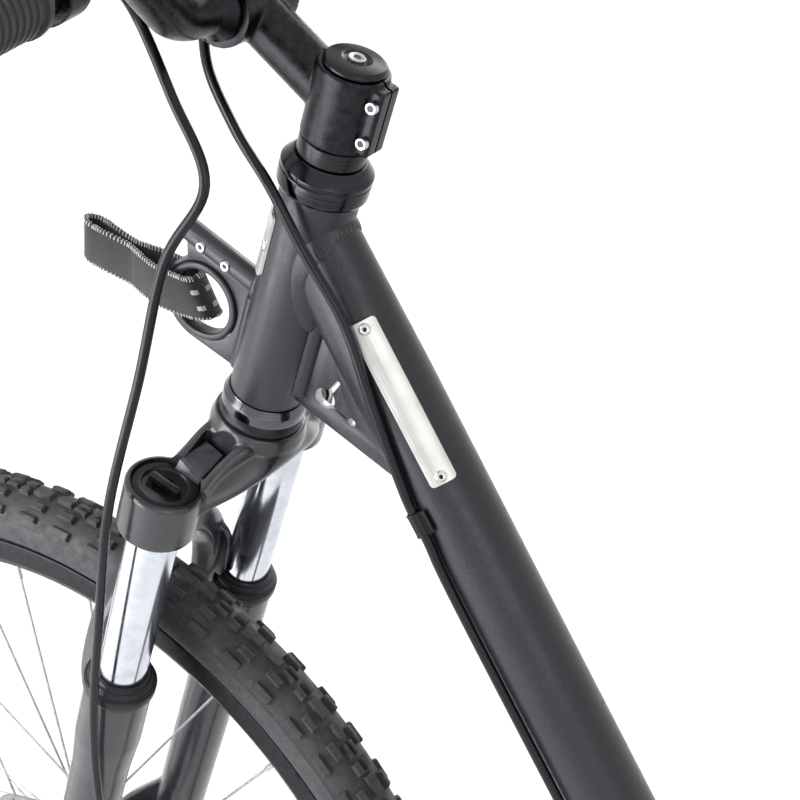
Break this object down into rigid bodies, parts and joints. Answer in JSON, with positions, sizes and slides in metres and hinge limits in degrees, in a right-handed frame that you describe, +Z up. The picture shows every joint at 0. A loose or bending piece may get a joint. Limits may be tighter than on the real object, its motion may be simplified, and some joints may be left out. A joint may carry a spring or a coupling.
{
  "type": "kick bike",
  "caption": "Adult kick scooter: large sprung front wheel, single sloping down tube with gusset and front ring bracket, low footboard, smaller rear wheel, disc brakes and a folding stand.",
  "frame": {"origin": "on the ground, midway between the front of the front tyre and the back of the rear tyre, in the middle plane", "axes": "+X forward, +Y to the rider's left, +Z up"},
  "size_m": [1.9154, 0.6256, 1.0733],
  "materials": {
    "frame_paint": "matte anthracite powder coat with a fine sparkle, satin sheen",
    "crown_paint": "cast, painted satin black",
    "chrome": "polished hard chrome",
    "black_anodised": "turned, black anodised",
    "bare_steel": "bare turned steel",
    "stainless": "brushed stainless sheet",
    "black_rubber": "moulded, matte",
    "tyre_rubber": "matte tread rubber",
    "hose_black": "smooth extruded hose",
    "rim_black": "black anodised",
    "hub_black": "black anodised",
    "webbing": "woven webbing",
    "deck_coat": "gritty anti-slip coat",
    "black_plastic": "moulded, fine texture",
    "silver": "satin silver"
  },
  "bodies": {
    "frame": {"head_tube": "frame_paint", "down_tube": "frame_paint", "rear_gusset": "frame_paint", "front_bracket": "frame_paint", "bracket_ring": "frame_paint", "bracket_socket": "frame_paint", "socket_screw_front": "silver", "socket_screw_rear": "silver", "tow_loop": "webbing", "name_plate": "stainless", "head_badge": "stainless", "hose_clip": "frame_paint", "rail_left": "frame_paint", "rail_right": "frame_paint", "deck_bridge": "frame_paint", "footboard": "deck_coat", "dropout_left": "frame_paint", "dropout_right": "frame_paint", "stand_bracket": "frame_paint", "rear_axle": "silver", "rear_caliper": "black_anodised", "lower_cup": "black_anodised", "upper_cup": "black_anodised", "lower_bearing": "bare_steel", "upper_bearing": "bare_steel", "rear_brake_hose": "hose_black"},
    "steering": {"crown_race": "black_rubber", "top_cover": "black_anodised", "fork_crown": "crown_paint", "steerer_tube": "bare_steel", "stanchion_left": "chrome", "stanchion_right": "chrome", "stanchion_cap": "black_plastic", "headset_spacer": "black_anodised", "stem": "black_anodised", "stem_faceplate": "black_anodised", "stem_cap": "black_anodised", "handlebar": "black_anodised", "grip_left": "black_rubber", "grip_right": "black_rubber", "lever_body_left": "black_anodised", "lever_body_right": "black_anodised", "front_brake_hose": "hose_black"},
    "preload": {"preload_knob": "black_plastic"},
    "lowers": {"fork_lowers": "crown_paint", "seal_left": "black_rubber", "seal_right": "black_rubber", "front_axle": "silver", "front_caliper": "black_anodised"},
    "front_wheel": {"front_tyre": "tyre_rubber", "front_rim": "rim_black", "front_hub": "hub_black", "front_rotor": "bare_steel"},
    "rear_wheel": {"rear_tyre": "tyre_rubber", "rear_rim": "rim_black", "rear_hub": "hub_black", "rear_rotor": "bare_steel"},
    "lever_left": {"brake_lever_left": "silver"},
    "lever_right": {"brake_lever_right": "silver"},
    "stand": {"stand_legs": "bare_steel"}
  },
  "joints": [
    {"name": "steering_turn", "type": "hinge", "parent": "frame", "child": "steering", "pos_m": [0.43775, 0, 0.78927], "axis": [-0.309, 0, 0.9511], "range_deg": [-60, 60], "deforming": ["rear_brake_hose"]},
    {"name": "fork_travel", "type": "slide", "parent": "steering", "child": "lowers", "axis": [-0.309, 0, 0.9511], "range_m": [0, 0.08], "stiffness_N_per_m": 7000, "springref_m": -0.02, "deforming": ["front_brake_hose"]},
    {"name": "front_wheel_spin", "type": "hinge", "parent": "lowers", "child": "front_wheel", "pos_m": [0.62968, 0, 0.328], "axis": [0, 1, 0], "continuous": true},
    {"name": "rear_wheel_spin", "type": "hinge", "parent": "frame", "child": "rear_wheel", "pos_m": [-0.70368, 0, 0.254], "axis": [0, 1, 0], "continuous": true},
    {"name": "lever_left_pull", "type": "hinge", "parent": "steering", "child": "lever_left", "pos_m": [0.43447, 0.17854, 1.04695], "axis": [0.3411, 0.0737, 0.9371], "range_deg": [0, 18], "stiffness_Nm_per_rad": 0.8, "springref_deg": -14.32},
    {"name": "lever_right_pull", "type": "hinge", "parent": "steering", "child": "lever_right", "pos_m": [0.43447, -0.17854, 1.04695], "axis": [-0.3411, 0.0737, -0.9371], "range_deg": [0, 18], "stiffness_Nm_per_rad": 0.8, "springref_deg": -14.32},
    {"name": "preload_turn", "type": "hinge", "parent": "steering", "child": "preload", "pos_m": [0.44983, 0.062, 0.79319], "axis": [-0.309, 0, 0.9511], "range_deg": [0, 270]},
    {"name": "stand_fold", "type": "hinge", "parent": "frame", "child": "stand", "pos_m": [-0.3196, 0, 0.0657], "axis": [0, 1, 0], "range_deg": [0, 88], "stiffness_Nm_per_rad": 0.6, "springref_deg": -28.65}
  ]
}
